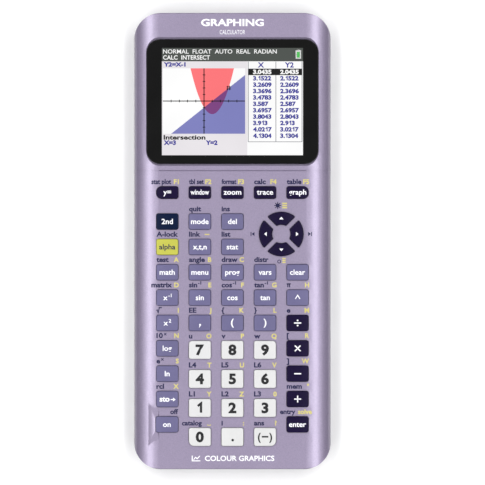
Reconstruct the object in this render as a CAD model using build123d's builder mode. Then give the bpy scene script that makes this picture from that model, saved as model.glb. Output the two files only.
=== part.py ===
"""Handheld graphing calculator: two-shell case, recessed display window, fifty separate keys over a
silicone dome membrane, main board, display module, battery bay with a screwed cover, and a reset button.

The calculator lies on its back. X runs across it, Y along it towards the display, and +Z out of its face.
The origin is at the middle of the plane that its four rear pads rest on. Every length is in millimetres.
"""

import math
import os
from dataclasses import dataclass

from build123d import *

# Case outline and thickness
length = 190.5
width = 82.3
corner_r = 11.3
wall = 1.8
pad_h = 0.6
pad_r = 4.2
pad_x = 27.0
pad_y = 80.0
face_z = 14.3
part_z = 9.0
back_z = pad_h
floor_z = back_z + wall
ceiling_z = face_z - wall

# The long edges of the face roll off along a quarter ellipse
fold_x = 30.9
roll_foot_z = part_z + 0.2
inner_fold_x = 32.6
inner_foot_z = part_z - 0.1
rear_edge_r = 4.5
face_edge_r = 0.5

# Lip on the rear shell that locates the front one
lip_inset = wall + 0.3
lip_t = 0.9
lip_h = 0.6
lip_depth = 2.0

# Crease across the face below the display
crease_y = 29.4
crease_w = 0.45
crease_d = 0.3

# Display window, its recess and the ledge that it is glued to
window_w = 71.8
window_h = 52.0
window_r = 5.7
window_y = 58.25
window_t = 1.0
window_z = face_z - 0.75
window_gap = 0.1
bevel = 0.8
ledge_w = 4.9
ledge_z = window_z - window_t - 0.9

# Display module and the rib that holds it
module_w = 64.5
module_h = 49.6
module_z = 9.4
module_top_z = ledge_z - 0.05
rib_gap = 0.25
rib_t = 1.3
rib_z = 9.6
tail_w = 20.0

# Keys
column_pitch = 13.6
row_pitch = 10.58
second_row_y = 8.14
top_row_y = 20.25
number_pitch = 12.11
zero_y = -81.75
key_w = 9.1
key_h = 6.6
top_key_h = 5.1
number_key_w = 9.2
number_key_h = 7.6
power_key_w = 9.4
key_r = 0.85
side_gap = 0.15
key_top_z = face_z + 1.1
key_travel = 1.0
crown_r = 60.0
cap_edge_r = 0.35
flange_w = 0.65
flange_t = 0.85
flange_top_z = ceiling_z - 0.05
cap_wall = 1.2
cap_roof = 1.5
plunger_r = 1.5

# Four arrow keys around a fixed disc
ring_x = 1.5 * column_pitch
ring_y = 2.95
ring_outer_r = 9.2
ring_inner_r = 3.95
ring_web = 2.1
arrow_key_r = 6.6
arrow_tip_r = 0.45
arrow_flange_w = 0.4
arrow_rise = 0.15

# Raised cheek beside the power key
cheek_h = 0.5
cheek_half_l = 6.6
cheek_w = 5.7
cheek_sink = 1.4
cheek_lean = 0.3

# Main board
board_w = 69.0
board_y = (-87.5, 84.5)
board_t = 1.0
board_z = part_z - board_t
pad_contact_r = 1.6
notch_r = 3.5

# Dome membrane
sheet_t = 0.6
sheet_w = 66.0
sheet_y = (-87.0, 27.0)
dome_r = 2.7
dome_top_r = 1.7
dome_wall = 0.35
dome_z = flange_top_z - flange_t - 0.5
dome_roof = 0.8
pill_r = 0.9
pill_t = 0.25
plunger_gap = 0.03

# Screws, and the bosses that they join
screw_rows = ((31.5, 88.3), (33.0, 14.6), (31.5, -86.5))
screw_places = [(side * x, y) for x, y in screw_rows for side in (-1, 1)]
screw_r = 1.0
screw_head_r = 1.9
screw_head_h = 1.2
head_seat_z = back_z + 2.4
screw_l = 7.6
front_boss_r = 2.2
rear_boss_r = 3.1
post_places = ((-26, 74), (26, 80), (-26, 34), (26, 34), (-27, -45), (27, -45), (-14, -72), (14, -72))
post_r = 1.8

# Battery, its bay and its cover
bay_w = 43.0
bay_l = 56.0
bay_y = -25.5
bay_wall = 1.2
bay_top_z = 7.4
battery_w = 40.0
battery_l = 51.0
battery_t = 4.4
cover_w = 48.7
cover_t = 1.2
cover_head_l = 8.0
cover_tail_l = 2.0
cover_gap = 0.15
cover_screw_y = bay_y + bay_l / 2 + 4.2
cover_screw_r = 0.8
cover_head_r = 1.7
tab_x = 13.0
tab_w = 6.0
tab_l = 1.8
tab_t = 0.9

# Reset button
reset_y = 26.0
reset_r = 1.4
reset_travel = 0.6
reset_tip_z = back_z + 0.8
reset_top_z = 4.9

# Socket and charge lamp in the right-hand side
port_y = 64.0
port_w = 7.7
port_h = 3.9
port_l = 9.2
port_face_x = width / 2 - 0.7
lamp_y = 72.5
lamp_z = 6.4
lamp_r = 0.9

# Grooves in both sides for a slide-on cover
groove_y = (-84.0, 50.0)
groove_z = part_z - 1.0
groove_h = 1.1
groove_d = 0.7

# Label recess on the back
label_w = 44.0
label_h = 20.0
label_y = 58.0
label_d = 0.25


@dataclass
class Key:
    """A key's name, centre, size, and its corner radii anticlockwise from the lower left."""

    name: str
    x: float
    y: float
    w: float = key_w
    h: float = key_h
    radii: tuple = (key_r, key_r, key_r, key_r)
    turn: float | None = None


def column(n):
    """The X of column n, counted from the left, 0 to 4."""
    return (n - 2) * column_pitch


def function_row(n):
    """The Y of function row n. Row 2 is the first one below the row under the display."""
    return second_row_y - (n - 2) * row_pitch


def top_keys():
    """The five keys right under the display, with rounder corners at both ends of the row."""
    end_r = 2.2
    names = ("key_equation", "key_window", "key_zoom", "key_trace", "key_graph")
    keys = []
    for n, name in enumerate(names):
        left = end_r if n == 0 else key_r
        right = end_r if n == 4 else key_r
        keys.append(Key(name, column(n), top_row_y, h=top_key_h, radii=(left, right, right, left)))
    return keys


def function_keys():
    """The keys with functions and operators on them."""
    rows = {
        2: ("key_second", "key_mode", "key_delete"),
        3: ("key_alpha", "key_variable", "key_statistics"),
        4: ("key_math", "key_applications", "key_program", "key_values", "key_clear"),
        5: ("key_inverse", "key_sine", "key_cosine", "key_tangent", "key_power"),
        6: ("key_square", "key_comma", "key_open_bracket", "key_close_bracket", "key_divide"),
    }
    keys = []
    for row, names in rows.items():
        for n, name in enumerate(names):
            keys.append(Key(name, column(n), function_row(row)))
    for row, name in enumerate(("key_log", "key_ln", "key_store"), 7):
        keys.append(Key(name, column(0), function_row(row)))
    for row, name in enumerate(("key_multiply", "key_minus", "key_plus", "key_enter"), 7):
        keys.append(Key(name, column(4), function_row(row)))
    # the power key reaches a little further out, into its cheek
    reach = (power_key_w - key_w) / 2
    keys.append(Key("key_on", column(0) - reach, function_row(10), w=power_key_w))
    return keys


def number_keys():
    """The three by four block of number keys, with rounder corners at the corners of the block."""
    rows = (
        ("key_0", "key_point", "key_negative"),
        ("key_1", "key_2", "key_3"),
        ("key_4", "key_5", "key_6"),
        ("key_7", "key_8", "key_9"),
    )
    low_r = 2.2
    high_r = 1.5
    rounder = {"key_0": (0, low_r), "key_negative": (1, low_r), "key_9": (2, high_r), "key_7": (3, high_r)}
    keys = []
    for row, names in enumerate(rows):
        for n, name in enumerate(names):
            radii = [key_r] * 4
            if name in rounder:
                corner, radius = rounder[name]
                radii[corner] = radius
            y = zero_y + row * number_pitch
            keys.append(Key(name, column(n + 1), y, number_key_w, number_key_h, tuple(radii)))
    return keys


def arrow_keys():
    """The four arrow keys, each one turned about the centre of their ring."""
    turns = (("right", 0), ("up", 90), ("left", 180), ("down", 270))
    return [Key(f"key_arrow_{name}", ring_x, ring_y, turn=turn) for name, turn in turns]


def key_plane(key, z):
    """The plane of a key's outline. An arrow key's outline points along the plane's own X."""
    turn = math.radians(key.turn or 0)
    return Plane((key.x, key.y, z), x_dir=(math.cos(turn), math.sin(turn), 0), z_dir=(0, 0, 1))


def plunger_reach(key):
    """How far along its plane's X a key's plunger stands."""
    return 0.0 if key.turn is None else arrow_key_r


def dome_places(keys):
    """Where each key's plunger meets the membrane."""
    places = []
    for key in keys:
        turn = math.radians(key.turn or 0)
        reach = plunger_reach(key)
        places.append((key.x + reach * math.cos(turn), key.y + reach * math.sin(turn)))
    return places


def key_outline(key, grow):
    """The outline of a key's cap, moved outward by grow."""
    with BuildSketch() as outline:
        if key.turn is None:
            half_w = key.w / 2 + grow
            half_h = key.h / 2 + grow
            Rectangle(2 * half_w, 2 * half_h)
            for (side, end), radius in zip(((-1, -1), (1, -1), (1, 1), (-1, 1)), key.radii):
                corner = outline.vertices().sort_by_distance((side * half_w, end * half_h, 0))[0]
                fillet(corner, max(radius + grow, 0.3))
        else:
            Circle(ring_outer_r + grow)
            Circle(ring_inner_r - grow, mode=Mode.SUBTRACT)
            side = 2 * ring_outer_r
            apex = (ring_web / 2 - grow) * math.sqrt(2)
            with Locations((apex + side / math.sqrt(2), 0)):
                Rectangle(side, side, rotation=45, mode=Mode.INTERSECT)
            fillet(outline.vertices(), arrow_tip_r + grow)
    return outline.sketch


def roll_section(half_w, top_z, fold, foot_z, base_z):
    """A cross-section that is flat on top and rolls down each side along a quarter ellipse."""
    run = half_w - fold
    rise = top_z - foot_z
    with BuildSketch() as section:
        with BuildLine():
            Line((-fold, top_z), (fold, top_z))
            EllipticalCenterArc((fold, foot_z), run, rise, start_angle=0, arc_size=90)
            Polyline((half_w, foot_z), (half_w, base_z), (-half_w, base_z), (-half_w, foot_z))
            EllipticalCenterArc((-fold, foot_z), run, rise, start_angle=90, arc_size=90)
        make_face()
    return section.sketch


def rolled_block(inset, top_z, fold, foot_z, base_z, edge_r=0.0):
    """The case's rounded plan, inset on every side, standing on base_z and rolled off at the sides."""
    section = roll_section(width / 2 - inset, top_z, fold, foot_z, base_z)
    with BuildPart() as block:
        with BuildSketch(Plane.XY.offset(base_z)):
            RectangleRounded(width - 2 * inset, length - 2 * inset, corner_r - inset)
        extrude(amount=top_z - base_z)
        if edge_r > 0:
            fillet(block.faces().sort_by(Axis.Z)[-1].edges(), edge_r)
        with BuildSketch(Plane.XZ.offset(-length)):
            add(section)
        extrude(amount=2 * length, mode=Mode.INTERSECT)
    return block.part


def make_cheek():
    """The low cheek beside the power key: a blister that fades along Y and towards the case's edge."""
    key_y = function_row(10)
    low_z = face_z - cheek_sink
    high_z = face_z + cheek_h
    arch_r = (cheek_half_l**2 + cheek_h**2) / (2 * cheek_h)
    depth = high_z - low_z
    foot_half_l = (2 * arch_r * depth - depth**2) ** 0.5
    with BuildPart() as cheek:
        with BuildSketch(Plane.YZ.offset(-fold_x + cheek_lean)):
            with BuildLine():
                near = (key_y - foot_half_l, low_z)
                far = (key_y + foot_half_l, low_z)
                ThreePointArc(near, (key_y, high_z), far)
                Line(far, near)
            make_face()
        extrude(amount=-cheek_w - cheek_lean)
        with BuildSketch(Plane.XZ.offset(-key_y)):
            with BuildLine():
                crest = (-fold_x - cheek_lean, high_z)
                toe = (-fold_x - cheek_w, low_z)
                ThreePointArc(crest, (-fold_x - cheek_w * 0.54, face_z + 0.02), toe)
                Polyline(toe, (-fold_x + cheek_lean, low_z), (-fold_x + cheek_lean, face_z), crest)
            make_face()
        extrude(amount=foot_half_l, both=True, mode=Mode.INTERSECT)
    return cheek.part


def make_front_housing(keys):
    """The front shell, with openings for the keys and the window, and six screw bosses."""
    outside = rolled_block(0, face_z, fold_x, roll_foot_z, part_z, face_edge_r)
    inside = rolled_block(wall, ceiling_z, inner_fold_x, inner_foot_z, part_z - 1)
    cheek = make_cheek()
    openings = [(key_plane(key, part_z), key_outline(key, side_gap)) for key in keys]
    crease_floor = roll_section(width / 2 - crease_d, face_z - crease_d, fold_x, roll_foot_z, 0)
    with BuildPart() as front:
        add(outside)
        add(cheek)
        add(inside, mode=Mode.SUBTRACT)
        # screw bosses
        with BuildSketch(Plane.XY.offset(part_z)):
            with Locations(*screw_places):
                Circle(front_boss_r)
        extrude(amount=ceiling_z + 0.2 - part_z)
        # ledge under the window, and the rib around the display module
        with BuildSketch(Plane.XY.offset(ledge_z)):
            with Locations((0, window_y)):
                RectangleRounded(window_w + 2, window_h + 2, window_r)
        extrude(amount=ceiling_z - ledge_z)
        with BuildSketch(Plane.XY.offset(rib_z)):
            with Locations((0, window_y)):
                RectangleRounded(module_w + 2 * (rib_gap + rib_t), module_h + 2 * (rib_gap + rib_t), 2)
                Rectangle(module_w + 2 * rib_gap, module_h + 2 * rib_gap, mode=Mode.SUBTRACT)
        extrude(amount=ledge_z - rib_z)
        # window recess with a bevelled rim, and the opening in its ledge
        with BuildSketch(Plane.XY.offset(window_z - window_t)):
            with Locations((0, window_y)):
                RectangleRounded(window_w + 2 * window_gap, window_h + 2 * window_gap, window_r)
        extrude(amount=face_z - window_z + window_t, mode=Mode.SUBTRACT)
        with BuildSketch(Plane.XY.offset(window_z)):
            with Locations((0, window_y)):
                RectangleRounded(window_w + 2 * window_gap, window_h + 2 * window_gap, window_r)
        extrude(amount=bevel, taper=-45, mode=Mode.SUBTRACT)
        with BuildSketch(Plane.XY.offset(part_z)):
            with Locations((0, window_y)):
                RectangleRounded(window_w - 2 * ledge_w, window_h - ledge_w, 2)
        extrude(amount=face_z - part_z, mode=Mode.SUBTRACT)
        # key openings
        for plane, opening in openings:
            with BuildSketch(plane):
                add(opening)
            extrude(amount=face_z, mode=Mode.SUBTRACT)
        # crease below the display
        with BuildSketch(Plane.XZ.offset(-crease_y)):
            Rectangle(width + 2, 4 * face_z)
            add(crease_floor, mode=Mode.SUBTRACT)
        extrude(amount=crease_w / 2, both=True, mode=Mode.SUBTRACT)
        # pilot holes for the screws
        with BuildSketch(Plane.XY.offset(part_z)):
            with Locations(*screw_places):
                Circle(screw_r + 0.02)
        extrude(amount=head_seat_z + screw_l + 0.4 - part_z, mode=Mode.SUBTRACT)
    return front


def box_between(low, high, mode=Mode.ADD):
    """A box between two opposite corners, in the part that is being built."""
    size = [b - a for a, b in zip(low, high)]
    middle = [(a + b) / 2 for a, b in zip(low, high)]
    with Locations(tuple(middle)):
        Box(*size, mode=mode)


def make_rear_housing():
    """The rear shell: bay, posts, screw bosses, ports, side grooves and four rest pads."""
    bay_low, bay_high = bay_y - bay_l / 2, bay_y + bay_l / 2
    cover_low, cover_high = bay_low - cover_tail_l, bay_high + cover_head_l
    step_z = back_z + cover_t
    port_z = board_z - port_h / 2
    with BuildPart() as rear:
        with BuildSketch(Plane.XY.offset(back_z)):
            RectangleRounded(width, length, corner_r)
        extrude(amount=part_z - back_z)
        fillet(rear.faces().sort_by(Axis.Z)[0].edges(), rear_edge_r)
        with BuildSketch(Plane.XY.offset(floor_z)):
            RectangleRounded(width - 2 * wall - 3, length - 2 * wall - 3, corner_r - wall - 1.5)
        extrude(amount=1.5, taper=-45, mode=Mode.SUBTRACT)
        with BuildSketch(Plane.XY.offset(floor_z + 1.5)):
            RectangleRounded(width - 2 * wall, length - 2 * wall, corner_r - wall)
        extrude(amount=part_z - floor_z, mode=Mode.SUBTRACT)
        # locating lip inside the rim
        outer = 2 * (wall - 0.1)
        inner = 2 * (lip_inset + lip_t)
        with BuildSketch(Plane.XY.offset(part_z)):
            RectangleRounded(width - outer, length - outer, corner_r - outer / 2)
            RectangleRounded(width - inner, length - inner, corner_r - inner / 2, mode=Mode.SUBTRACT)
        extrude(amount=-lip_depth)
        with BuildSketch(Plane.XY.offset(part_z)):
            RectangleRounded(width - 2 * lip_inset, length - 2 * lip_inset, corner_r - lip_inset)
            RectangleRounded(width - inner, length - inner, corner_r - inner / 2, mode=Mode.SUBTRACT)
            with Locations(*screw_places):
                Circle(front_boss_r + 0.3, mode=Mode.SUBTRACT)
        extrude(amount=lip_h)
        # rest pads
        with BuildSketch():
            with GridLocations(2 * pad_x, 2 * pad_y, 2, 2):
                Circle(pad_r)
        extrude(amount=back_z)
        # bosses for the case screws, and posts that the board rests on
        with BuildSketch(Plane.XY.offset(floor_z)):
            with Locations(*screw_places):
                Circle(rear_boss_r)
        extrude(amount=part_z - floor_z)
        with BuildSketch(Plane.XY.offset(floor_z)):
            with Locations(*post_places):
                Circle(post_r)
        extrude(amount=board_z - floor_z)
        # battery bay, its thickened floor, and the boss for the cover's screw
        box_between((-cover_w / 2 - 2, cover_low - 4, floor_z), (cover_w / 2 + 2, cover_high + 1.5, 3.0))
        box_between((-bay_w / 2, bay_low, floor_z), (bay_w / 2, bay_high, bay_top_z))
        with BuildSketch(Plane.XY.offset(3.0)):
            with Locations((0, cover_screw_y)):
                Circle(2.6)
        extrude(amount=4.0)
        inner_x = bay_w / 2 - bay_wall
        box_between(
            (-inner_x, bay_low + bay_wall, back_z),
            (inner_x, bay_high - bay_wall, bay_top_z - 1.0),
            Mode.SUBTRACT,
        )
        with BuildSketch(Plane.XY.offset(back_z)):
            with Locations((0, (cover_low + cover_high) / 2)):
                RectangleRounded(cover_w + 2 * cover_gap, cover_high - cover_low + 2 * cover_gap, 3)
        extrude(amount=cover_t, mode=Mode.SUBTRACT)
        for side in (-1, 1):
            box_between(
                (side * tab_x - tab_w / 2 - 0.2, cover_low - tab_l - 0.2, step_z),
                (side * tab_x + tab_w / 2 + 0.2, bay_low + bay_wall, step_z + tab_t + 0.15),
                Mode.SUBTRACT,
            )
        # slot for the battery connector's nose
        box_between((-14.2, bay_high - bay_wall - 1, 3.3), (-5.8, bay_high + 1, 5.9), Mode.SUBTRACT)
        # holes for the screws
        with BuildSketch(Plane.XY.offset(back_z)):
            with Locations(*screw_places):
                Circle(screw_head_r + 0.2)
        extrude(amount=head_seat_z - back_z, mode=Mode.SUBTRACT)
        with BuildSketch(Plane.XY.offset(back_z)):
            with Locations(*screw_places):
                Circle(screw_r + 0.2)
        extrude(amount=part_z, mode=Mode.SUBTRACT)
        with BuildSketch(Plane.XY.offset(step_z)):
            with Locations((0, cover_screw_y)):
                Circle(cover_screw_r + 0.02)
        extrude(amount=4.4, mode=Mode.SUBTRACT)
        # reset button's hole, with a funnel around it
        with BuildSketch(Plane.XY.offset(back_z)):
            with Locations((0, reset_y)):
                Circle(reset_r + 0.15)
        extrude(amount=wall, mode=Mode.SUBTRACT)
        with Locations((0, reset_y, back_z + 0.25)):
            Cone(reset_r + 0.65, reset_r + 0.15, 0.5, mode=Mode.SUBTRACT)
        # openings for the socket and the lamp
        with BuildSketch(Plane.YZ.offset(width / 2 - wall - 3)):
            with Locations((port_y, port_z)):
                RectangleRounded(port_w + 0.6, port_h + 0.6, 0.8)
            with Locations((lamp_y, lamp_z)):
                Circle(lamp_r + 0.1)
        extrude(amount=wall + 4, mode=Mode.SUBTRACT)
        # side grooves and label recess
        for side in (-1, 1):
            edge = side * width / 2
            box_between(
                (edge - groove_d, groove_y[0], groove_z - groove_h / 2),
                (edge + groove_d, groove_y[1], groove_z + groove_h / 2),
                Mode.SUBTRACT,
            )
        with BuildSketch(Plane.XY.offset(back_z)):
            with Locations((0, label_y)):
                RectangleRounded(label_w, label_h, 2)
        extrude(amount=label_d, mode=Mode.SUBTRACT)
    return rear


def make_window():
    """The display's lens."""
    with BuildPart() as window:
        with BuildSketch(Plane.XY.offset(window_z - window_t)):
            with Locations((0, window_y)):
                RectangleRounded(window_w, window_h, window_r)
        extrude(amount=window_t)
        fillet(window.faces().sort_by(Axis.Z)[-1].edges(), 0.2)
    return window


def make_module():
    """The display module: tray, glass, polariser, and the flexible tail down to the board."""
    low_y = window_y - module_h / 2
    with BuildPart() as module:
        layers = ((0, module_z, 10.5), (0.8, 10.5, 11.2), (1.6, 11.2, module_top_z))
        for inset, low, high in layers:
            with BuildSketch(Plane.XY.offset(low)):
                with Locations((0, window_y)):
                    RectangleRounded(module_w - 2 * inset, module_h - 2 * inset, 1)
            extrude(amount=high - low)
        # the tail leaves under the tray and ends in the board's connector
        box_between((-tail_w / 2, low_y - 3.2, 9.12), (tail_w / 2, low_y + 9, 9.3))
        box_between((-tail_w / 2, low_y + 6, 9.12), (tail_w / 2, low_y + 9, module_z))
    return module


def make_membrane(keys):
    """The silicone sheet, with a hollow dome and a contact pill under each key."""
    places = dome_places(keys)
    low_z = part_z
    top_z = part_z + sheet_t
    inner_r = dome_r - dome_wall
    roof_z = dome_z - dome_roof
    bottom = (Align.CENTER, Align.CENTER, Align.MIN)
    with BuildPart() as sheet:
        with BuildSketch(Plane.XY.offset(low_z)):
            with Locations((0, (sheet_y[0] + sheet_y[1]) / 2)):
                RectangleRounded(sheet_w, sheet_y[1] - sheet_y[0], 3)
            with Locations(*screw_places):
                Circle(notch_r, mode=Mode.SUBTRACT)
        extrude(amount=sheet_t)
        with Locations(*[(x, y, top_z) for x, y in places]):
            Cone(dome_r, dome_top_r, dome_z - top_z, align=bottom)
        with Locations(*[(x, y, low_z) for x, y in places]):
            Cylinder(inner_r, sheet_t, align=bottom, mode=Mode.SUBTRACT)
        with Locations(*[(x, y, top_z) for x, y in places]):
            Cone(inner_r, dome_top_r - dome_wall, roof_z - top_z, align=bottom, mode=Mode.SUBTRACT)
        with Locations(*[(x, y, roof_z - pill_t) for x, y in places]):
            Cylinder(pill_r, pill_t, align=bottom)
    return sheet


def make_board(keys):
    """The main board, with its contacts on top and its chips, sockets and switch underneath."""
    tab_x_end = width / 2 - lip_inset - lip_t - 0.2
    low_z = board_z - port_h
    with BuildPart() as board:
        with BuildSketch(Plane.XY.offset(board_z)):
            with Locations((0, (board_y[0] + board_y[1]) / 2)):
                RectangleRounded(board_w, board_y[1] - board_y[0], 4)
            with Locations((tab_x_end / 2, port_y + 4)):
                Rectangle(tab_x_end, 22)
            with Locations(*screw_places):
                Circle(notch_r, mode=Mode.SUBTRACT)
        extrude(amount=board_t)
        # gold contact under each dome
        with BuildSketch(Plane.XY.offset(part_z)):
            with Locations(*dome_places(keys)):
                Circle(pad_contact_r)
        extrude(amount=0.05)
        # display connector
        tail_y = window_y - module_h / 2 - 3.2
        box_between((-tail_w / 2 - 1, tail_y - 2, part_z), (tail_w / 2 + 1, tail_y + 0.6, part_z + 0.1))
        box_between((-tail_w / 2 - 1, tail_y - 2, part_z), (tail_w / 2 + 1, tail_y - 0.1, part_z + 1.0))
        # chips and passive parts
        chips = (
            (-9, 62, 13, 13, 1.2),
            (9, 66, 10, 8, 1.0),
            (9, 54, 8, 6, 1.0),
            (-22, 50, 6, 6, 0.9),
            (18, 44, 4, 3, 1.1),
            (-20, 14, 5, 5, 0.9),
            (-12, -64, 7, 7, 0.9),
            (0, -62, 4, 3, 0.8),
        )
        for x, y, w, h, t in chips:
            box_between((x - w / 2, y - h / 2, board_z - t), (x + w / 2, y + h / 2, board_z))
        for n in range(8):
            x = -20 + 5.4 * n
            box_between((x, 43.4 - 0.8, board_z - 0.7), (x + 1.8, 43.4 + 0.2, board_z))
        # shielded area
        box_between((14, 50, board_z - 2.2), (26, 72, board_z))
        # battery connector with its nose
        bay_high = bay_y + bay_l / 2
        box_between((-15, bay_high + 0.2, 3.2), (-5, bay_high + 3.4, board_z))
        box_between((-14, bay_high - bay_wall - 1.1, 3.5), (-6, bay_high + 0.3, 5.7))
        # reset switch
        box_between((-2, reset_y - 2, reset_top_z + reset_travel + 0.1), (2, reset_y + 2, board_z))
        # socket, hollow at its mouth, with a tongue inside
        box_between(
            (port_face_x - port_l, port_y - port_w / 2, low_z),
            (port_face_x, port_y + port_w / 2, board_z),
        )
        box_between(
            (port_face_x - 6.5, port_y - port_w / 2 + 0.4, low_z + 0.4),
            (port_face_x + 1, port_y + port_w / 2 - 0.4, board_z - 0.4),
            Mode.SUBTRACT,
        )
        tongue_z = board_z - port_h / 2
        box_between(
            (port_face_x - 6.6, port_y - 2.2, tongue_z - 0.5),
            (port_face_x - 1, port_y + 2.2, tongue_z + 0.5),
        )
        # charge lamp and its light pipe
        box_between((34.5, lamp_y - 1.2, lamp_z - 1.1), (37, lamp_y + 1.2, board_z))
        with BuildSketch(Plane.YZ.offset(36.9)):
            with Locations((lamp_y, lamp_z)):
                Circle(lamp_r)
        extrude(amount=width / 2 - 0.1 - 36.9)
    return board


def make_battery():
    """The flat battery pack, with a contact strip at its upper end."""
    low_z = back_z + cover_t + 0.05
    with BuildPart() as battery:
        with BuildSketch(Plane.XY.offset(low_z)):
            with Locations((0, bay_y)):
                RectangleRounded(battery_w, battery_l, 1.5)
        extrude(amount=battery_t)
        fillet(battery.edges().filter_by(GeomType.LINE).filter_by(Axis.Y), 1.2)
        end_y = bay_y + battery_l / 2
        for n in range(3):
            x = -12.5 + 2.5 * n
            box_between((x - 0.8, end_y - 0.5, 3.8), (x + 0.8, end_y + 0.1, 5.4))
    return battery


def make_cover():
    """The battery cover, flush with the back, with two tabs and a hole for its screw."""
    bay_low, bay_high = bay_y - bay_l / 2, bay_y + bay_l / 2
    low, high = bay_low - cover_tail_l, bay_high + cover_head_l
    top_z = back_z + cover_t
    with BuildPart() as cover:
        with BuildSketch(Plane.XY.offset(back_z)):
            with Locations((0, (low + high) / 2)):
                RectangleRounded(cover_w, high - low, 2.9)
        extrude(amount=cover_t)
        for side in (-1, 1):
            middle = side * tab_x
            box_between(
                (middle - tab_w / 2, low - tab_l, top_z),
                (middle + tab_w / 2, bay_low + bay_wall - 0.2, top_z + tab_t),
            )
        # finger ridges across the head, clear of the back's plane
        with BuildSketch(Plane.XY.offset(back_z)):
            for side in (-1, 1):
                with Locations((side * 13, cover_screw_y)):
                    with GridLocations(0, 1.6, 1, 4):
                        SlotOverall(12, 0.7)
        extrude(amount=0.3, mode=Mode.SUBTRACT)
        with BuildSketch(Plane.XY.offset(back_z)):
            with Locations((0, cover_screw_y)):
                Circle(cover_head_r + 0.2)
        extrude(amount=0.85, mode=Mode.SUBTRACT)
        with BuildSketch(Plane.XY.offset(back_z)):
            with Locations((0, cover_screw_y)):
                Circle(cover_screw_r + 0.15)
        extrude(amount=cover_t, mode=Mode.SUBTRACT)
    return cover


def make_screws():
    """The six case screws and the cover's screw, with crossed slots in their heads."""
    heads = [(x, y, head_seat_z, screw_r, screw_head_r, screw_head_h, screw_l) for x, y in screw_places]
    heads.append((0, cover_screw_y, back_z + 0.85, cover_screw_r, cover_head_r, 0.7, 4.2))
    bottom = (Align.CENTER, Align.CENTER, Align.MIN)
    with BuildPart() as screws:
        for x, y, seat_z, shank, head, head_h, shank_l in heads:
            with Locations((x, y, seat_z - head_h)):
                Cylinder(head, head_h, align=bottom)
            with Locations((x, y, seat_z)):
                Cylinder(shank, shank_l, align=bottom)
            with Locations((x, y, seat_z - head_h)):
                Box(2.2, 0.45, 0.5, align=bottom, mode=Mode.SUBTRACT)
                Box(0.45, 2.2, 0.5, align=bottom, mode=Mode.SUBTRACT)
    return screws


def make_reset():
    """The reset button, pressed from the back through a hole in the floor."""
    bottom = (Align.CENTER, Align.CENTER, Align.MIN)
    with BuildPart() as button:
        with Locations((0, reset_y, reset_tip_z)):
            Cylinder(reset_r, reset_top_z - reset_tip_z, align=bottom)
        with Locations((0, reset_y, floor_z + 0.05)):
            Cylinder(reset_r + 1.0, 0.9, align=bottom)
        with Locations((0, reset_y, reset_tip_z)):
            Sphere(0.8, mode=Mode.SUBTRACT)
    return button


def make_key(key):
    """One key: a crowned cap, the flange that keeps it in the case, and the plunger on its dome."""
    cap = key_outline(key, 0)
    flange = key_outline(key, flange_w if key.turn is None else arrow_flange_w)
    low_z = flange_top_z - flange_t
    top_z = key_top_z if key.turn is None else key_top_z + arrow_rise
    middle_x = plunger_reach(key)
    crown_plane = key_plane(key, 0)
    crown_at = crown_plane.from_local_coords((middle_x, 0, top_z - crown_r))
    plunger_at = crown_plane.from_local_coords((middle_x, 0, dome_z + plunger_gap))
    roof_z = key_top_z - cap_roof
    with BuildPart() as body:
        with BuildSketch(key_plane(key, low_z)):
            add(cap)
        extrude(amount=top_z - low_z)
        with Locations(crown_at):
            Sphere(crown_r, mode=Mode.INTERSECT)
        fillet(body.faces().sort_by(Axis.Z)[-1].edges(), cap_edge_r)
        with BuildSketch(key_plane(key, low_z)):
            add(flange)
        extrude(amount=flange_t)
        if key.turn is None:
            with BuildSketch(key_plane(key, low_z)):
                Rectangle(key.w - 2 * cap_wall, key.h - 2 * cap_wall)
            extrude(amount=roof_z - low_z, mode=Mode.SUBTRACT)
        with Locations(plunger_at):
            Cylinder(plunger_r, roof_z - plunger_at.Z, align=(Align.CENTER, Align.CENTER, Align.MIN))
    return body


def save(piece, name):
    """Labels a finished piece and writes it as its own STEP file."""
    piece.part.label = name
    export_step(piece.part, f"parts/{name}.step")


def main():
    os.makedirs("parts", exist_ok=True)
    keys = top_keys() + function_keys() + number_keys() + arrow_keys()
    save(make_front_housing(keys), "front_housing")
    save(make_rear_housing(), "rear_housing")
    save(make_window(), "display_window")
    save(make_module(), "lcd_module")
    save(make_membrane(keys), "keypad_membrane")
    save(make_board(keys), "main_board")
    save(make_battery(), "battery_pack")
    save(make_cover(), "battery_cover")
    save(make_screws(), "case_screws")
    save(make_reset(), "reset_button")
    for key in keys:
        save(make_key(key), key.name)


if __name__ == "__main__":
    main()
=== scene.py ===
"""Looks of the graphing calculator: moulded and printed surfaces, the lit display, floor, lights, camera."""

import math
import re

import bpy
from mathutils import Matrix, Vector


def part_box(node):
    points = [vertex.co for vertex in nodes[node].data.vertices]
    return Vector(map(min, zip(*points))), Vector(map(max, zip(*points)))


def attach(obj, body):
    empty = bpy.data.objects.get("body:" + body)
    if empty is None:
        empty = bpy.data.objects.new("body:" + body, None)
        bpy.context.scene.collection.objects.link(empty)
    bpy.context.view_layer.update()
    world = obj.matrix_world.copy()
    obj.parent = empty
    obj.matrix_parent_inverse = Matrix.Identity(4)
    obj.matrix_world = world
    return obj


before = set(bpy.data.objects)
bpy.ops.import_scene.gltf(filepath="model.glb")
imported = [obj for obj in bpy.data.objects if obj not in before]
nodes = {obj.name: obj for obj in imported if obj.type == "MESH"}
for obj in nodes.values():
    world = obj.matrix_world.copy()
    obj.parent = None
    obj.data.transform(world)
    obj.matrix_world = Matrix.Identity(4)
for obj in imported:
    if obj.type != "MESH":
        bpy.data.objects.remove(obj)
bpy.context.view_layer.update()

MM = 0.001

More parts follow.
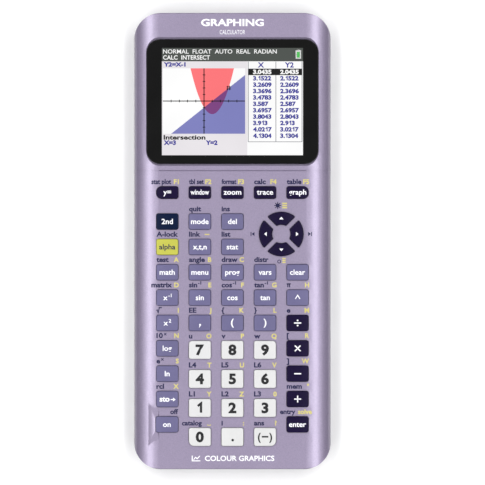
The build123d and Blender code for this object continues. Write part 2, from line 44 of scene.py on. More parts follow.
# Sizes that the CAD model's boxes don't give, in millimetres
FACE_Z = 14.3
FOLD_X = 30.9
ROLL_FOOT_Z = 9.2
HALF_WIDTH = 41.15
FLANGE = 0.65
CROWN_R = 60.0
PRINT = 0.025
ARROW_REACH = 6.6

number_keys = [f"key_{n}" for n in range(10)] + ["key_point", "key_negative"]
arrow_keys = ["key_arrow_right", "key_arrow_up", "key_arrow_left", "key_arrow_down"]
purple_keys = [
    "key_equation", "key_window", "key_zoom", "key_trace", "key_graph",
    "key_divide", "key_multiply", "key_minus", "key_plus", "key_enter",
]


def box_mm(name):
    """A CAD node's lowest and highest corners in millimetres."""
    low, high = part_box(name)
    return Vector(low) / MM, Vector(high) / MM


def linear(red, green, blue):
    """A display colour, 0 to 255, as scene values."""
    values = []
    for part in (red, green, blue):
        part = part / 255
        values.append(part / 12.92 if part <= 0.04045 else ((part + 0.055) / 1.055) ** 2.4)
    return values


# ---------------------------------------------------------------- materials


def new_material(name):
    material = bpy.data.materials.new(name)
    material.use_nodes = True
    tree = material.node_tree
    return material, tree, tree.nodes["Principled BSDF"]


def noise(tree, scale, detail=3.0, roughness=0.5):
    """A noise texture in the object's own space, where scale is in features per metre."""
    where = tree.nodes.new("ShaderNodeTexCoord")
    texture = tree.nodes.new("ShaderNodeTexNoise")
    texture.inputs["Scale"].default_value = scale
    texture.inputs["Detail"].default_value = detail
    texture.inputs["Roughness"].default_value = roughness
    tree.links.new(where.outputs["Object"], texture.inputs["Vector"])
    return texture.outputs["Fac"]


def ramp(tree, source, low, high, start=0.3, end=0.7):
    """Two colours, or two greys, spread over a texture's middle range."""
    node = tree.nodes.new("ShaderNodeValToRGB")
    first, last = node.color_ramp.elements
    first.position, last.position = start, end
    first.color = (*low, 1) if isinstance(low, (list, tuple)) else (low, low, low, 1)
    last.color = (*high, 1) if isinstance(high, (list, tuple)) else (high, high, high, 1)
    tree.links.new(source, node.inputs["Fac"])
    return node.outputs["Color"]


def bump(tree, shader, height, strength, distance):
    node = tree.nodes.new("ShaderNodeBump")
    node.inputs["Strength"].default_value = strength
    node.inputs["Distance"].default_value = distance
    tree.links.new(height, node.inputs["Height"])
    tree.links.new(node.outputs["Normal"], shader.inputs["Normal"])


def moulded(
    name, colour, rough=0.4, metallic=0.0, coat=0.0, specular=0.5, spread=0.06, grain=0.12, grain_scale=3200
):
    """Moulded plastic: slow tone variation, a fine grain, and uneven gloss."""
    material, tree, shader = new_material(name)
    darker = [c * (1 - spread) for c in colour]
    lighter = [min(1.0, c * (1 + spread)) for c in colour]
    cloud = noise(tree, 90.0, detail=4.0)
    tree.links.new(ramp(tree, cloud, darker, lighter), shader.inputs["Base Color"])
    fine = noise(tree, grain_scale, detail=2.0)
    tree.links.new(ramp(tree, fine, rough * 0.88, rough * 1.12), shader.inputs["Roughness"])
    bump(tree, shader, fine, grain, 0.00004)
    shader.inputs["Metallic"].default_value = metallic
    shader.inputs["Coat Weight"].default_value = coat
    shader.inputs["Coat Roughness"].default_value = 0.18
    shader.inputs["Specular IOR Level"].default_value = specular
    return material


def pearl(name, colour, rough, metallic, coat):
    """Pearlescent moulded plastic: flakes of slightly different tone under a satin coat, with painted shade on
    steep walls.
    """
    material, tree, shader = new_material(name)
    where = tree.nodes.new("ShaderNodeTexCoord")
    flakes = tree.nodes.new("ShaderNodeTexVoronoi")
    flakes.inputs["Scale"].default_value = 5200
    tree.links.new(where.outputs["Object"], flakes.inputs["Vector"])
    grey = tree.nodes.new("ShaderNodeSeparateColor")
    tree.links.new(flakes.outputs["Color"], grey.inputs["Color"])
    dark = [c * 0.9 for c in colour]
    light = [min(1, c * 1.1) for c in colour]
    tones = ramp(tree, grey.outputs["Red"], dark, light, 0.0, 1.0)
    cloud = ramp(tree, noise(tree, 60.0, detail=5.0), 0.965, 1.0)
    blend = tree.nodes.new("ShaderNodeMix")
    blend.data_type = "RGBA"
    blend.blend_type = "MULTIPLY"
    blend.inputs["Factor"].default_value = 1.0
    tree.links.new(tones, blend.inputs["A"])
    tree.links.new(cloud, blend.inputs["B"])
    # painted shade: the base colour is darkened to half where the surface stands up steeply, by its normal,
    # standing in for the shade on the rolled sides and walls
    steep = tree.nodes.new("ShaderNodeSeparateXYZ")
    tree.links.new(where.outputs["Normal"], steep.inputs["Vector"])
    level = tree.nodes.new("ShaderNodeMath")
    level.operation = "ABSOLUTE"
    tree.links.new(steep.outputs["Z"], level.inputs[0])
    painted_wall_shade = ramp(tree, level.outputs["Value"], 0.5, 1.0, 0.45, 0.88)
    painted_shade_mix = tree.nodes.new("ShaderNodeMix")
    painted_shade_mix.data_type = "RGBA"
    painted_shade_mix.blend_type = "MULTIPLY"
    painted_shade_mix.inputs["Factor"].default_value = 1.0
    tree.links.new(blend.outputs["Result"], painted_shade_mix.inputs["A"])
    tree.links.new(painted_wall_shade, painted_shade_mix.inputs["B"])
    tree.links.new(painted_shade_mix.outputs["Result"], shader.inputs["Base Color"])
    fine = noise(tree, 2600, detail=3.0)
    tree.links.new(ramp(tree, fine, rough * 0.9, rough * 1.1), shader.inputs["Roughness"])
    bump(tree, shader, fine, 0.1, 0.00004)
    shader.inputs["Metallic"].default_value = metallic
    shader.inputs["Coat Weight"].default_value = coat
    shader.inputs["Coat Roughness"].default_value = 0.22
    return material


def glowing(name, colour, strength=1.0):
    """A lit area of the display, with the slight unevenness of its backlight."""
    material, tree, shader = new_material(name)
    cloud = noise(tree, 45.0, detail=2.0)
    tree.links.new(
        ramp(tree, cloud, [c * 0.96 for c in colour], [min(1.0, c * 1.02) for c in colour]),
        shader.inputs["Emission Color"],
    )
    shader.inputs["Base Color"].default_value = (0.004, 0.004, 0.004, 1)
    shader.inputs["Emission Strength"].default_value = strength
    shader.inputs["Roughness"].default_value = 0.25
    shader.inputs["Specular IOR Level"].default_value = 0.2
    return material


def board_material():
    """Green solder mask over a faint pattern of tracks."""
    material, tree, shader = new_material("circuit_board")
    where = tree.nodes.new("ShaderNodeTexCoord")
    tracks = tree.nodes.new("ShaderNodeTexBrick")
    tracks.inputs["Scale"].default_value = 260
    tracks.inputs["Mortar Size"].default_value = 0.04
    tracks.inputs["Color1"].default_value = (0.008, 0.09, 0.035, 1)
    tracks.inputs["Color2"].default_value = (0.012, 0.12, 0.045, 1)
    tracks.inputs["Mortar"].default_value = (0.03, 0.2, 0.08, 1)
    tree.links.new(where.outputs["Object"], tracks.inputs["Vector"])
    tree.links.new(tracks.outputs["Color"], shader.inputs["Base Color"])
    shader.inputs["Roughness"].default_value = 0.35
    bump(tree, shader, tracks.outputs["Fac"], 0.3, 0.00003)
    return material


def metal(name, colour, rough):
    """Turned and tumbled metal with fine scratches."""
    material, tree, shader = new_material(name)
    scratches = noise(tree, 5200, detail=4.0)
    tree.links.new(ramp(tree, scratches, [c * 0.85 for c in colour], colour), shader.inputs["Base Color"])
    tree.links.new(ramp(tree, scratches, rough * 0.7, rough * 1.3), shader.inputs["Roughness"])
    bump(tree, shader, scratches, 0.2, 0.00002)
    shader.inputs["Metallic"].default_value = 1.0
    return material


def ink(name, colour, rough=0.5):
    """Screen-printed ink with a slightly uneven film."""
    return moulded(name, colour, rough=rough, spread=0.08, grain=0.05, grain_scale=5000, specular=0.3)


LAVENDER = [0.283, 0.24, 0.352]
case_paint = pearl("case_pearl", LAVENDER, 0.34, 0.45, 0.9)
rear_plastic = pearl("rear_pearl", [c * 0.96 for c in LAVENDER], 0.38, 0.4, 0.6)
cover_plastic = moulded(
    "cover_plastic", [0.215, 0.18, 0.285], rough=0.52, spread=0.05, grain=0.45, grain_scale=1700
)
lens_black = moulded("lens_black", [0.004, 0.004, 0.004], rough=0.1, spread=0.2, grain=0.01, specular=0.35)
module_grey = moulded("display_module", [0.03, 0.03, 0.035], rough=0.4)
silicone = moulded("silicone", [0.5, 0.5, 0.51], rough=0.6, grain=0.25)
battery_wrap = moulded("battery_wrap", [0.12, 0.13, 0.16], rough=0.45, coat=0.3)
reset_plastic = moulded("reset_plastic", [0.6, 0.6, 0.6], rough=0.45)
purple_plastic = moulded("key_purple_plastic", linear(18, 7, 44), rough=0.3, specular=0.12, spread=0.1)
navy_plastic = moulded("key_navy_plastic", linear(2, 18, 48), rough=0.3, specular=0.12, spread=0.1)
yellow_plastic = moulded("key_yellow_plastic", linear(176, 175, 62), rough=0.38, specular=0.4, spread=0.04)
grey_plastic = moulded("key_grey_plastic", linear(94, 90, 127), rough=0.34, specular=0.4, spread=0.05)
white_plastic = moulded("key_white_plastic", linear(200, 200, 200), rough=0.33, specular=0.5, spread=0.02)
ink_white = ink("ink_white", linear(236, 236, 240))
# painted shade for the crease below the display, not a real print on the case
crease_painted_shade = ink("crease_painted_shade", linear(104, 94, 120))
ink_black = ink("ink_black", linear(14, 14, 18))
ink_navy = ink("ink_navy", linear(14, 14, 62))
ink_yellow = ink("ink_yellow", linear(196, 186, 108))

surfaces = {
    "front_housing": case_paint,
    "rear_housing": rear_plastic,
    "battery_cover": cover_plastic,
    "display_window": lens_black,
    "lcd_module": module_grey,
    "keypad_membrane": silicone,
    "main_board": board_material(),
    "battery_pack": battery_wrap,
    "case_screws": metal("screw_steel", (0.5, 0.5, 0.52), 0.3),
    "reset_button": reset_plastic,
}
for name in nodes:
    if name in surfaces:
        continue
    if name in number_keys:
        surfaces[name] = white_plastic
    elif name in purple_keys or name in arrow_keys:
        surfaces[name] = purple_plastic
    elif name == "key_second":
        surfaces[name] = navy_plastic
    elif name == "key_alpha":
        surfaces[name] = yellow_plastic
    else:
        surfaces[name] = grey_plastic
for name, node in nodes.items():
    node.data.materials.clear()
    node.data.materials.append(surfaces[name])


# ---------------------------------------------------------------- print and lettering

GLYPHS = {
    "pi": (
        0.8,
        [[(0, 0.6), (0.12, 0.72), (0.78, 0.72)], [(0.24, 0.72), (0.2, 0)], [(0.54, 0.72), (0.54, 0.12), (0.66, 0)]],
    ),
    "sqrt": (1.1, [[(0, 0.45), (0.14, 0.55), (0.34, 0), (0.56, 1.05), (1.05, 1.05)]]),
    "caret": (1.0, [[(0, 0.2), (0.5, 1.0), (1.0, 0.2)]]),
    "minus": (1.1, [[(0, 0.5), (1.1, 0.5)]]),
    "plus": (1.1, [[(0, 0.5), (1.1, 0.5)], [(0.55, -0.05), (0.55, 1.05)]]),
    "times": (1.0, [[(0.05, 0.05), (0.95, 0.95)], [(0.05, 0.95), (0.95, 0.05)]]),
    "space": (0.9, [[(0, 0.25), (0, 0), (0.8, 0), (0.8, 0.25)]]),
    "one": (0.42, [[(0.0, 0.7), (0.32, 0.97), (0.32, 0)]]),
}
glyph_cache = {}


def letter_mesh(text, bold):
    """The built-in font's flat outline of a text, as points and faces, with capitals one unit high."""
    key = (text, bold)
    if key not in glyph_cache:
        curve = bpy.data.curves.new("lettering", "FONT")
        curve.body = text
        curve.offset = bold
        curve.resolution_u = 3
        item = bpy.data.objects.new("lettering", curve)
        bpy.context.scene.collection.objects.link(item)
        bpy.context.view_layer.update()
        mesh = bpy.data.meshes.new_from_object(item.evaluated_get(bpy.context.evaluated_depsgraph_get()))
        points = [(v.co.x, v.co.y) for v in mesh.vertices]
        faces = [list(p.vertices) for p in mesh.polygons]
        bpy.data.objects.remove(item)
        bpy.data.meshes.remove(mesh)
        bpy.data.curves.remove(curve)
        glyph_cache[key] = (points, faces)
    return glyph_cache[key]


cap_points = letter_mesh("H", 0.0)[0]
CAP = max(p[1] for p in cap_points)


class Print:
    """Flat printed shapes in millimetres, gathered into one mesh that follows a surface."""

    def __init__(self):
        self.points = []
        self.faces = []
        self.marks = []

    def add(self, points, faces, mark=0):
        base = len(self.points)
        self.points += points
        self.faces += [[base + i for i in face] for face in faces]
        self.marks += [mark] * len(faces)

    def polygon(self, points, mark=0):
        self.add(list(points), [list(range(len(points)))], mark)

    def rectangle(self, x0, y0, x1, y1, mark=0):
        self.polygon([(x0, y0), (x1, y0), (x1, y1), (x0, y1)], mark)

    def stroke(self, points, thick, mark=0):
        """A line of even thickness along points, mitred where it bends."""
        half = thick / 2
        sides = []
        for i, (x, y) in enumerate(points):
            before = Vector(points[max(i - 1, 0)])
            here = Vector((x, y))
            after = Vector(points[min(i + 1, len(points) - 1)])
            first = (here - before).normalized() if i > 0 else (after - here).normalized()
            second = (after - here).normalized() if i < len(points) - 1 else first
            normal = Vector((-first.y - second.y, first.x + second.x))
            if normal.length < 1e-6:
                normal = Vector((-first.y, first.x))
            normal.normalize()
            reach = half / max(0.4, normal.dot(Vector((-first.y, first.x))))
            sides.append((here + normal * reach, here - normal * reach))
        for (a, b), (c, d) in zip(sides, sides[1:]):
            self.polygon([tuple(b), tuple(d), tuple(c), tuple(a)], mark)

    def ring(self, x, y, radius, thick, mark=0, steps=32):
        for n in range(steps):
            corners = []
            for turn, r in ((n, radius - thick), (n, radius), (n + 1, radius), (n + 1, radius - thick)):
                angle = 2 * math.pi * turn / steps
                corners.append((x + r * math.cos(angle), y + r * math.sin(angle)))
            self.polygon(corners, mark)

    def disc(self, x, y, radius, mark=0, steps=24):
        turns = [2 * math.pi * n / steps for n in range(steps)]
        self.polygon([(x + radius * math.cos(t), y + radius * math.sin(t)) for t in turns], mark)

    def text(self, text, x, y, cap, align="left", stretch=0.86, bold=0.0, most=None, mark=0):
        """A line of text. ^{..} raises, _{..} lowers, and @name; draws a sign from GLYPHS."""
        pieces = []
        pen = 0.0
        for token in re.findall(r"@\w+;|\^\{[^}]*\}|_\{[^}]*\}|[^@^_]+", text):
            size, rise = cap, 0.0
            if token[0] == "@":
                advance, strokes = GLYPHS[token[1:-1]]
                pieces.append(("strokes", strokes, pen, rise, size))
                pen += advance * size * stretch + 0.12 * size
                continue
            if token[0] == "^":
                token, size, rise = token[2:-1], cap * 0.66, cap * 0.58
            elif token[0] == "_":
                token, size, rise = token[2:-1], cap * 0.66, -cap * 0.2
            points, faces = letter_mesh(token, bold)
            if not points:
                pen += 0.4 * cap * len(token)
                continue
            scale = size / CAP
            left = min(p[0] for p in points)
            right = max(p[0] for p in points)
            placed = [(pen + (p[0] - left) * scale * stretch, rise + p[1] * scale) for p in points]
            pieces.append(("letters", placed, faces))
            pen += (right - left) * scale * stretch + 0.14 * size
        width = pen - 0.13 * cap
        squeeze = min(1.0, most / width) if most else 1.0
        start = x - width * squeeze * {"left": 0.0, "centre": 0.5, "right": 1.0}[align]
        for piece in pieces:
            if piece[0] == "letters":
                self.add([(start + px * squeeze, y + py) for px, py in piece[1]], piece[2], mark)
            else:
                _, strokes, offset, rise, size = piece
                thick = size * (0.15 + 2.2 * bold)
                for line in strokes:
                    run = [
                        (start + (offset + px * size * stretch) * squeeze, y + rise + py * size)
                        for px, py in line
                    ]
                    self.stroke(run, thick, mark)
        return width * squeeze

    def build(self, name, materials, height, body):
        """Makes the mesh, laid on the surface given by height(x, y), and rides it on a body."""
        mesh = bpy.data.meshes.new(name)
        owner = {}
        for face, mark in zip(self.faces, self.marks):
            for i in face:
                owner[i] = mark
        points = [
            (x * MM, y * MM, height(x, y, owner.get(i, 0)) * MM) for i, (x, y) in enumerate(self.points)
        ]
        mesh.from_pydata(points, [], self.faces)
        for material in materials:
            mesh.materials.append(material)
        for polygon, mark in zip(mesh.polygons, self.marks):
            polygon.material_index = mark
        mesh.update()
        for polygon in mesh.polygons:
            if polygon.normal.z < 0:
                polygon.flip()
        piece = bpy.data.objects.new(name, mesh)
        bpy.context.scene.collection.objects.link(piece)
        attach(piece, body)
        return piece


def face_height(x, y, mark):
    """Just above the case's face, following the roll of its long edges."""
    past = max(0.0, abs(x) - FOLD_X)
    run = HALF_WIDTH - FOLD_X
    rise = FACE_Z - ROLL_FOOT_Z
    return ROLL_FOOT_Z + rise * math.sqrt(max(0.0, 1 - (past / run) ** 2)) + PRINT


# ---------------------------------------------------------------- keys' own lettering

labels = {
    "key_equation": "y=", "key_window": "window", "key_zoom": "zoom", "key_trace": "trace", "key_graph": "graph",
    "key_second": "2nd", "key_mode": "mode", "key_delete": "del", "key_alpha": "alpha", "key_variable": "x,t,n",
    "key_statistics": "stat", "key_math": "math", "key_applications": "menu", "key_program": "prog",
    "key_values": "vars", "key_clear": "clear", "key_inverse": "x^{-1}", "key_sine": "sin", "key_cosine": "cos",
    "key_tangent": "tan", "key_power": "@caret;", "key_square": "x^{2}", "key_comma": ",", "key_open_bracket": "(",
    "key_close_bracket": ")", "key_divide": "", "key_log": "log", "key_ln": "ln", "key_store": "sto",
    "key_on": "on", "key_multiply": "@times;", "key_minus": "@minus;", "key_plus": "@plus;", "key_enter": "enter",
    "key_point": ".", "key_negative": "",
}
for n in range(10):
    labels[f"key_{n}"] = str(n)


def key_height(name):
    """The crowned top of one key, as a height function."""
    low, high = box_mm(name)
    x, y = key_centre(name)
    top = high.z

    def height(px, py, mark):
        away = (px - x) ** 2 + (py - y) ** 2
        return top - CROWN_R + math.sqrt(CROWN_R**2 - away) + 0.045

    return height


def key_centre(name):
    """Where a key's crown is highest: the middle of its cap."""
    low, high = box_mm(name)
    middle = (low + high) / 2
    if name == "key_on":
        return middle.x, middle.y
    if name in arrow_keys:
        hub_x, hub_y = arrow_hub()
        turn = math.radians(90 * arrow_keys.index(name))
        return hub_x + ARROW_REACH * math.cos(turn), hub_y + ARROW_REACH * math.sin(turn)
    return middle.x, middle.y


def arrow_hub():
    """The centre of the ring of arrow keys."""
    left = box_mm("key_arrow_left")[0].x
    right = box_mm("key_arrow_right")[1].x
    low = box_mm("key_arrow_down")[0].y
    high = box_mm("key_arrow_up")[1].y
    return (left + right) / 2, (low + high) / 2


def print_key(name):
    """The lettering on one key, riding on that key."""
    sheet = Print()
    x, y = key_centre(name)
    colour = ink_white
    label = labels.get(name, "")
    if name in arrow_keys:
        turn = math.radians(90 * arrow_keys.index(name))
        along = Vector((math.cos(turn), math.sin(turn)))
        across = Vector((-along.y, along.x))
        tip = Vector((x, y)) + along * 0.55
        base = Vector((x, y)) - along * 0.5
        sheet.polygon([tuple(tip), tuple(base + across * 0.88), tuple(base - across * 0.88)])
    elif name in number_keys:
        colour = ink_black
        if name == "key_point":
            sheet.disc(x + 0.1, y - 1.3, 0.55)
        elif name == "key_negative":
            sheet.text("(@minus;)", x, y - 1.35, 2.9, "centre", 0.85, 0.035)
        else:
            figure = "@one;" if label == "1" else label
            sheet.text(figure, x, y - 1.95, 3.95, "centre", 1.1, 0.045)
    elif name == "key_divide":
        sheet.stroke([(x - 1.5, y), (x + 1.5, y)], 0.5)
        sheet.disc(x, y + 1.05, 0.36)
        sheet.disc(x, y - 1.05, 0.36)
    elif name in ("key_multiply", "key_minus", "key_plus"):
        sheet.text(label, x, y - 1.3, 2.6, "centre", 1.0, 0.02)
    elif name == "key_store":
        sheet.text("sto", x - 1.1, y - 1.0, 2.15, "centre", 1.05, 0.034)
        sheet.stroke([(x + 1.4, y - 0.2), (x + 2.9, y - 0.2)], 0.36)
        sheet.polygon([(x + 2.4, y - 1.0), (x + 3.5, y - 0.2), (x + 2.4, y + 0.6)])
    elif name == "key_power":
        sheet.text(label, x, y - 0.9, 1.9, "centre", 1.0, 0.02)
    elif name == "key_comma":
        sheet.disc(x + 0.1, y - 0.75, 0.42)
        sheet.polygon([(x + 0.52, y - 0.75), (x - 0.15, y - 1.9), (x - 0.4, y - 1.75), (x + 0.05, y - 0.85)])
    elif name in ("key_open_bracket", "key_close_bracket"):
        sheet.text(label, x, y - 0.95, 2.6, "centre", 1.0, 0.03)
    else:
        if name in ("key_alpha",):
            colour = ink_navy
        drop = 0.85 if name in ("key_zoom", "key_trace", "key_equation", "key_graph", "key_window") else 1.0
        sheet.text(label, x, y - drop, 2.1, "centre", 1.06, 0.018, most=7.7)
    sheet.build(f"print_{name}", [colour], key_height(name), f"{name}_body")


for name in labels:
    print_key(name)
for name in arrow_keys:
    print_key(name)


# ---------------------------------------------------------------- print on the case

legends = {
    "key_equation": ("stat plot", "F1"), "key_window": ("tbl set", "F2"), "key_zoom": ("format", "F3"),
    "key_trace": ("calc", "F4"), "key_graph": ("table", "F5"), "key_mode": ("quit", ""), "key_delete": ("ins", ""),
    "key_alpha": ("A-lock", ""), "key_variable": ("link", ""), "key_statistics": ("list", ""),
    "key_math": ("test", "A"), "key_applications": ("angle", "B"), "key_program": ("draw", "C"),
    "key_values": ("distr", ""), "key_inverse": ("matrix", "D"), "key_sine": ("sin^{-1}", "E"),
    "key_cosine": ("cos^{-1}", "F"), "key_tangent": ("tan^{-1}", "G"), "key_power": ("@pi;", "H"),
    "key_square": ("@sqrt;", "I"), "key_comma": ("EE", "J"), "key_open_bracket": ("{", "K"),
    "key_close_bracket": ("}", "L"), "key_divide": ("e", "M"), "key_log": ("10^{x}", "N"), "key_7": ("u", "O"),
    "key_8": ("v", "P"), "key_9": ("w", "Q"), "key_multiply": ("[", "R"), "key_ln": ("e^{x}", "S"),
    "key_4": ("L4", "T"), "key_5": ("L5", "U"), "key_6": ("L6", "V"), "key_minus": ("]", "W"),
    "key_store": ("rcl", "X"), "key_1": ("L1", "Y"), "key_2": ("L2", "Z"), "key_3": ("L3", "0"),
    "key_plus": ("mem", '"'), "key_point": ("i", ":"), "key_negative": ("ans", "?"),
}
navy = Print()
yellow = Print()
white = Print()
for name, (second, alpha) in legends.items():
    low, high = box_mm(name)
    left = low.x + FLANGE
    right = high.x - FLANGE
    base = high.y - FLANGE + 1.05
    wide = name in ("key_equation", "key_inverse")
    start = left - 2.1 if wide else left
    room = right - start - (2.9 if len(alpha) == 2 else 2.0 if alpha else 0.0)
    navy.text(second, start, base, 1.95, "left", 1.12, 0.038, most=room)
    if alpha:
        yellow.text(alpha, right + 0.3, base, 1.85, "right", 1.02, 0.034)
low, high = box_mm("key_on")
navy.text("off", high.x - FLANGE, high.y - FLANGE + 1.05, 1.9, "right", 1.05, 0.036)
low, high = box_mm("key_0")
base = high.y - FLANGE + 1.05
navy.text("catalog", low.x + FLANGE - 2.9, base, 1.9, "left", 1.05, 0.036)
yellow.text("@space;", high.x - FLANGE, base, 1.5, "right", 1.0, 0.012)
low, high = box_mm("key_enter")
base = high.y - FLANGE + 1.05
navy.text("entry", low.x + FLANGE - 2.8, base, 1.9, "left", 1.05, 0.036)
yellow.text("solve", high.x - FLANGE + 1.4, base, 1.9, "right", 1.0, 0.034)
low, high = box_mm("key_variable")
yellow.stroke([(high.x - 3.2, high.y - FLANGE + 1.9), (high.x - 1.2, high.y - FLANGE + 1.9)], 0.45)

# marks around the ring of arrow keys
hub_x, hub_y = arrow_hub()
sun_x, sun_y = hub_x - 1.5, hub_y + 11.9
navy.disc(sun_x, sun_y, 0.85)
for n in range(8):
    turn = math.radians(45 * n)
    navy.stroke(
        [(sun_x + r * math.cos(turn), sun_y + r * math.sin(turn)) for r in (0.7, 1.5)], 0.34
    )
for n in range(3):
    yellow.rectangle(sun_x + 1.9, sun_y - 1.2 + 0.9 * n, sun_x + 3.9, sun_y - 0.65 + 0.9 * n)
navy.ring(sun_x + 0.6, hub_y - 11.5, 0.78, 0.3)
for n in range(3):
    yellow.rectangle(sun_x + 1.9, hub_y - 12.1 + 0.8 * n, sun_x + 3.3, hub_y - 11.6 + 0.8 * n)
for side in (-1, 1):
    bar = hub_x + side * 11.9
    navy.stroke([(bar + side * 0.75, hub_y - 0.85), (bar + side * 0.75, hub_y + 0.85)], 0.35)
    navy.polygon([(bar + side * 0.5, hub_y), (bar - side * 0.7, hub_y + 0.85), (bar - side * 0.7, hub_y - 0.85)])

# generic heading above the display, and a generic graph mark at the foot
low, high = box_mm("display_window")
head = high.y + 5.6
white.text("GRAPHING", 0, head, 2.75, "centre", 1.5, 0.03, most=26.2)
white.text("CALCULATOR", 0, head - 3.5, 1.75, "centre", 0.9, 0.0, most=10.6)
case_low, case_high = box_mm("rear_housing")
foot = case_low.y + 3.5
white.stroke([(-16.8, foot + 2.2), (-16.8, foot), (-13.4, foot)], 0.35)
white.stroke([(-16.2, foot + 0.5), (-15.4, foot + 1.5), (-14.7, foot + 0.9), (-13.6, foot + 2.1)], 0.35)
white.text("COLOUR GRAPHICS", 3.0, foot, 2.1, "centre", 1.2, 0.02, most=29)

navy.build("legends_navy", [ink_navy], face_height, "case")
yellow.build("legends_yellow", [ink_yellow], face_height, "case")
white.build("legends_white", [ink_white], face_height, "case")

# painted shade: a dark printed strip standing in for the shade in the crease below the display
crease = Print()
crease.rectangle(-30.7, 29.4 - 0.11, 30.7, 29.4 + 0.11)
crease.build("crease_shade", [crease_painted_shade], face_height, "case")


# ---------------------------------------------------------------- the display's picture

lens_low, lens_high = box_mm("display_window")
active_w, active_h = 58.9, 44.8
screen_x = -active_w / 2
screen_y = (lens_low.y + lens_high.y) / 2 + active_h / 2
shades = [
    ("grey", linear(232, 228, 232)), ("bar", linear(76, 81, 77)), ("white", linear(252, 252, 252)),
    ("red", linear(255, 118, 122)), ("blue", linear(126, 128, 190)), ("purple", linear(124, 64, 128)),
    ("ink", linear(48, 48, 150)), ("black", linear(14, 14, 14)), ("line", linear(140, 140, 146)),
    ("green", linear(80, 190, 90)),
]
tone = {name: n for n, (name, colour) in enumerate(shades)}
layer = {
    "grey": 0, "bar": 1, "white": 1, "red": 2, "blue": 2, "purple": 3, "line": 3, "black": 4, "ink": 5, "green": 5,
}
layer_of = {tone[name]: step for name, step in layer.items()}
picture = Print()


def sx(part):
    return screen_x + part * active_w


def sy(part):
    return screen_y - part * active_h


def panel(x0, y0, x1, y1, name):
    """A rectangle of the picture, in parts of its width and of its height from the top."""
    picture.rectangle(sx(x0), sy(y1), sx(x1), sy(y0), tone[name])


panel(0, 0, 1, 1, "grey")
panel(0, 0, 1, 0.125, "bar")
panel(0.605, 0.125, 1, 1, "white")
panel(0.007, 0.19, 0.59, 0.8, "white")

# graph window from -5 to 5 both ways
graph_x0, graph_x1, graph_y0, graph_y1 = sx(0.007), sx(0.59), sy(0.8), sy(0.19)


def gx(value):
    return graph_x0 + (value + 5) / 10 * (graph_x1 - graph_x0)


def gy(value):
    return graph_y0 + (value + 5) / 10 * (graph_y1 - graph_y0)


def curve_height(value):
    return value * value - 2 * value - 1


def curve_points(start, end, steps=36):
    run = [start + (end - start) * n / steps for n in range(steps + 1)]
    return [(value, curve_height(value)) for value in run]


reach = math.sqrt(7)
above = curve_points(1 - reach, 1 + reach)
for (a, fa), (b, fb) in zip(above, above[1:]):
    picture.polygon([(gx(a), gy(fa)), (gx(b), gy(fb)), (gx(b), gy(5)), (gx(a), gy(5))], tone["red"])
picture.polygon([(gx(-4), gy(-5)), (gx(5), gy(-5)), (gx(5), gy(4))], tone["blue"])
between = curve_points(0, 3)
for (a, fa), (b, fb) in zip(between, between[1:]):
    picture.polygon([(gx(a), gy(fa)), (gx(b), gy(fb)), (gx(b), gy(b - 1)), (gx(a), gy(a - 1))], tone["purple"])
picture.stroke([(gx(-5), gy(0)), (gx(5), gy(0))], 0.4, tone["black"])
picture.stroke([(gx(0), gy(-5)), (gx(0), gy(5))], 0.42, tone["black"])
for n in range(-4, 5):
    picture.stroke([(gx(n), gy(0) - 0.55), (gx(n), gy(0) + 0.55)], 0.32, tone["black"])
    picture.stroke([(gx(0) - 0.55, gy(n)), (gx(0) + 0.55, gy(n))], 0.32, tone["black"])
# the cursor on the crossing
for side in (-0.42, 0.42):
    picture.stroke([(gx(3) - 0.95, gy(2) + side), (gx(3) + 0.95, gy(2) + side)], 0.34, tone["black"])
    picture.stroke([(gx(3) + side, gy(2) - 0.95), (gx(3) + side, gy(2) + 0.95)], 0.34, tone["black"])

# words and figures
status = "NORMAL  FLOAT  AUTO  REAL  RADIAN"
picture.text(status, sx(0.008), sy(0.052), 1.7, "left", 1.2, 0.01, most=47.5, mark=tone["white"])
picture.text("CALC  INTERSECT", sx(0.008), sy(0.108), 1.7, "left", 1.0, 0.02, most=19.6, mark=tone["white"])
panel(0.948, 0.022, 0.986, 0.1, "white")
panel(0.957, 0.012, 0.977, 0.022, "white")
panel(0.956, 0.036, 0.978, 0.09, "green")
picture.text("Y2=X-1", sx(0.012), sy(0.172), 1.6, "left", 1.3, 0.05, most=9.2, mark=tone["ink"])
picture.text("Intersection", sx(0.012), sy(0.853), 1.75, "left", 1.42, 0.035, mark=tone["black"])
picture.text("X=3", sx(0.012), sy(0.902), 1.7, "left", 1.1, 0.05, mark=tone["ink"])
picture.text("Y=2", sx(0.31), sy(0.902), 1.7, "left", 1.1, 0.05, mark=tone["ink"])
rows = (
    ("3.0435", "2.0435"), ("3.1522", "2.1522"), ("3.2609", "2.2609"), ("3.3696", "2.3696"), ("3.4783", "2.4783"),
    ("3.587", "2.587"), ("3.6957", "2.6957"), ("3.8043", "2.8043"), ("3.913", "2.913"), ("4.0217", "3.0217"),
    ("4.1304", "3.1304"),
)
table_top = 0.135
pitch = 0.0595
left, middle, right = 0.612, 0.808, 0.993
for n, part in enumerate((left + 0.09, middle + 0.095)):
    picture.text(("X", "Y2")[n], sx(part), sy(table_top + 0.046), 2.0, "centre", 1.1, 0.03, mark=tone["ink"])
picture.stroke([(sx(left), sy(0.875)), (sx(right), sy(0.875))], 0.26, tone["line"])
picture.stroke([(sx(left), sy(table_top + pitch)), (sx(right), sy(table_top + pitch))], 0.2, tone["line"])
panel(left, table_top + pitch, right, table_top + 2 * pitch, "black")
for part in (left, middle, right):
    picture.stroke([(sx(part), sy(0.127)), (sx(part), sy(0.875))], 0.3, tone["line"])
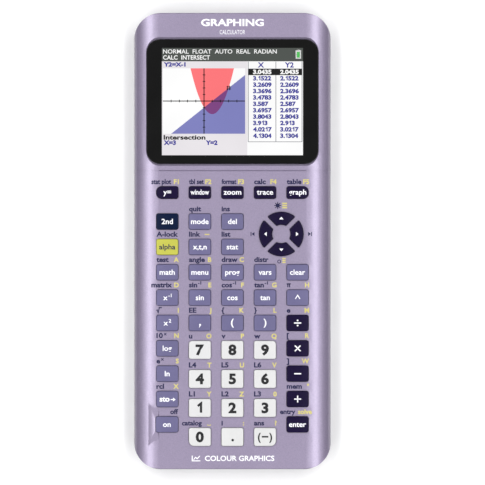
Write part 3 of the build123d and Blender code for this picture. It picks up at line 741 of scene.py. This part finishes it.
for n, pair in enumerate(rows):
    level = sy(table_top + pitch * (n + 2) - 0.012)
    shade = tone["white"] if n == 0 else tone["ink"]
    for start, figures in ((left + 0.034, pair[0]), (middle + 0.03, pair[1])):
        digits = figures.replace("1", "@one;")
        picture.text(digits, sx(start), level, 1.65, "left", 1.18, 0.05, most=7.9, mark=shade)


def picture_height(x, y, mark):
    """Each tone lies on its own level, a few microns over the one below."""
    return lens_high.z + 0.01 + 0.008 * layer_of[mark]


screen = picture.build(
    "display_picture",
    [glowing(f"display_{name}", colour) for name, colour in shades],
    picture_height,
    "case",
)
# light lettering on dark ground has to stand over that ground
for polygon in screen.data.polygons:
    if polygon.material_index == tone["white"] and len(polygon.vertices) != 4:
        for i in polygon.vertices:
            screen.data.vertices[i].co.z = (lens_high.z + 0.01 + 0.008 * 6) * MM


# ---------------------------------------------------------------- label on the back

cover_low, cover_high = box_mm("battery_cover")
label = Print()
back_z = 0.6
recess_depth = 0.25
label_thick = 0.03
ink_thick = 0.01


def back_height(x, y, mark):
    return back_z + recess_depth - label_thick - ink_thick * mark


label.rectangle(-21.3, 48.7, 21.3, 67.3, 0)
label_middle = 58.0
line_pitch = 5.2
for n, (line, cap) in enumerate((("graphing calculator", 2.4), ("rechargeable battery inside", 1.5))):
    backwards = Print()
    backwards.text(line, 0, 0, cap, "centre", 0.95, 0.01)
    base = label_middle + line_pitch * (0.5 - n)
    label.add([(-px, base + py) for px, py in backwards.points], backwards.faces, 1)
plate = moulded("label_film", linear(196, 196, 204), rough=0.35, coat=0.2, grain=0.04)
label_piece = label.build("back_label", [plate, ink_navy], back_height, "case")
for polygon in label_piece.data.polygons:
    polygon.flip()

back_words = Print()
word = Print()
word.text("reset", 0, 0, 1.7, "centre", 0.9, 0.008)
reset_low, reset_high = box_mm("reset_button")
reset_y = (reset_low.y + reset_high.y) / 2
back_words.add([(-px, reset_y + 3.6 + py) for px, py in word.points], word.faces, 0)
back_piece = back_words.build("back_words", [ink_white], lambda x, y, mark: back_z - 0.025, "case")
for polygon in back_piece.data.polygons:
    polygon.flip()


# ---------------------------------------------------------------- floor, lights and camera

floor_mesh = bpy.data.meshes.new("floor")
floor_mesh.from_pydata([(-4, -4, 0), (4, -4, 0), (4, 4, 0), (-4, 4, 0)], [], [(0, 1, 2, 3)])
floor = bpy.data.objects.new("floor", floor_mesh)
bpy.context.scene.collection.objects.link(floor)
paper = moulded("floor_paper", [0.93, 0.93, 0.93], rough=0.8, spread=0.01, grain=0.02, grain_scale=400)
floor_mesh.materials.append(paper)
floor.location.z = -0.0002

world = bpy.data.worlds.new("studio")
bpy.context.scene.world = world
world.use_nodes = True
world.node_tree.nodes["Background"].inputs["Color"].default_value = (0.98, 0.98, 1.0, 1)
world.node_tree.nodes["Background"].inputs["Strength"].default_value = 0.22


def softbox(name, place, size_x, size_y, watts):
    light = bpy.data.lights.new(name, "AREA")
    light.shape = "RECTANGLE"
    light.size = size_x
    light.size_y = size_y
    light.energy = watts
    item = bpy.data.objects.new(name, light)
    bpy.context.scene.collection.objects.link(item)
    item.location = place
    item.rotation_euler = Vector(place).to_track_quat("Z", "X").to_euler()
    item.visible_camera = False
    return item


for side, turn in (("left", -1), ("right", 1)):
    softbox(f"softbox_{side}", (0.29 * turn, 0.0, 0.63), 0.2, 1.5, 3.1)
    softbox(f"softbox_{side}_wide", (0.33 * turn, 0.0, 0.62), 0.5, 1.5, 2.4)

camera_data = bpy.data.cameras.new("camera")
camera = bpy.data.objects.new("camera", camera_data)
bpy.context.scene.collection.objects.link(camera)
camera.location = (0.0042, -0.0006, 2.0)
camera_data.sensor_width = 36
camera_data.lens = 353.1
camera_data.clip_start = 0.05
bpy.context.scene.camera = camera
bpy.context.scene.view_settings.view_transform = "Standard"
bpy.context.scene.view_settings.look = "None"
